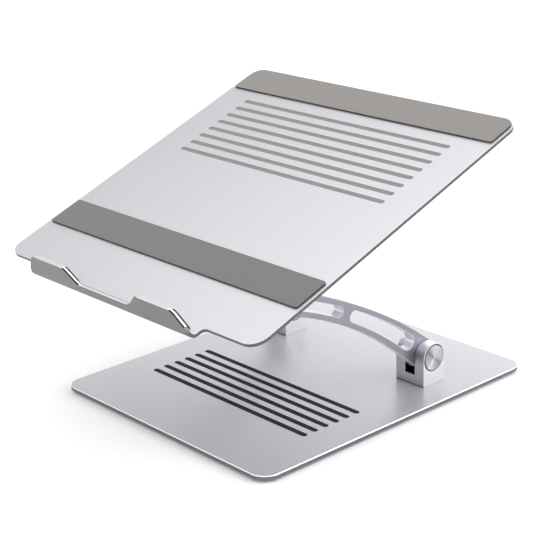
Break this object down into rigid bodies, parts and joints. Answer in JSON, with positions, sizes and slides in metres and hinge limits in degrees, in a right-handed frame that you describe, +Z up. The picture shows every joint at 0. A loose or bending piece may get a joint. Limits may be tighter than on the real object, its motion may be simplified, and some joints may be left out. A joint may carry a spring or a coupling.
{
  "type": "laptop stand",
  "caption": "Folding aluminium laptop stand: slotted base plate, arched friction-hinge arms and a tilting slotted tray with pads and front hooks.",
  "frame": {"origin": "on the table, in the middle of the stand's width and halfway between the hooks' tips and the back of the base plate", "axes": "+X to the user's right, +Y to the back, +Z up; the user faces +Y"},
  "size_m": [0.2654, 0.3028, 0.2022],
  "materials": {
    "aluminium": "fine bead-blasted, clear anodised",
    "spun": "radially turned face, clear anodised",
    "steel": "plain",
    "grey_silicone": "matte",
    "black_silicone": "matte",
    "nylon": "smooth"
  },
  "bodies": {
    "base": {"base_plate": "aluminium", "vent_inlay_1": "black_silicone", "vent_inlay_2": "black_silicone", "vent_inlay_3": "black_silicone", "vent_inlay_4": "black_silicone", "vent_inlay_5": "black_silicone", "vent_inlay_6": "black_silicone", "foot_front_left": "black_silicone", "foot_front_right": "black_silicone", "foot_rear_left": "black_silicone", "foot_rear_right": "black_silicone", "lower_bracket_left": "aluminium", "lower_shaft_left": "steel", "lower_cap_left_outer": "spun", "lower_washer_left_outer": "nylon", "lower_screw_left_outer": "steel", "lower_cap_left_inner": "spun", "lower_washer_left_inner": "nylon", "lower_screw_left_inner": "steel", "lower_bracket_right": "aluminium", "lower_shaft_right": "steel", "lower_cap_right_outer": "spun", "lower_washer_right_outer": "nylon", "lower_screw_right_outer": "steel", "lower_cap_right_inner": "spun", "lower_washer_right_inner": "nylon", "lower_screw_right_inner": "steel"},
    "arms": {"arm_left": "aluminium", "arm_right": "aluminium"},
    "tray": {"tray_plate": "aluminium", "front_pad": "grey_silicone", "rear_pad": "grey_silicone", "hook_liner_left": "grey_silicone", "hook_liner_right": "grey_silicone", "tray_inlay_1": "grey_silicone", "tray_inlay_2": "grey_silicone", "tray_inlay_3": "grey_silicone", "tray_inlay_4": "grey_silicone", "tray_inlay_5": "grey_silicone", "tray_inlay_6": "grey_silicone", "tray_inlay_7": "grey_silicone", "tray_inlay_8": "grey_silicone", "upper_bracket_left": "aluminium", "upper_shaft_left": "steel", "upper_cap_left_outer": "spun", "upper_washer_left_outer": "nylon", "upper_screw_left_outer": "steel", "upper_cap_left_inner": "spun", "upper_washer_left_inner": "nylon", "upper_screw_left_inner": "steel", "upper_bracket_right": "aluminium", "upper_shaft_right": "steel", "upper_cap_right_outer": "spun", "upper_washer_right_outer": "nylon", "upper_screw_right_outer": "steel", "upper_cap_right_inner": "spun", "upper_washer_right_inner": "nylon", "upper_screw_right_inner": "steel"}
  },
  "joints": [
    {"name": "arm_lift", "type": "hinge", "parent": "base", "child": "arms", "pos_m": [0, 0.07748, 0.0255], "axis": [-1, 0, 0], "range_deg": [-28, 30]},
    {"name": "tray_tilt", "type": "hinge", "parent": "arms", "child": "tray", "pos_m": [0, -0.07556, 0.10668], "axis": [1, 0, 0], "range_deg": [-48.5, 12]}
  ]
}
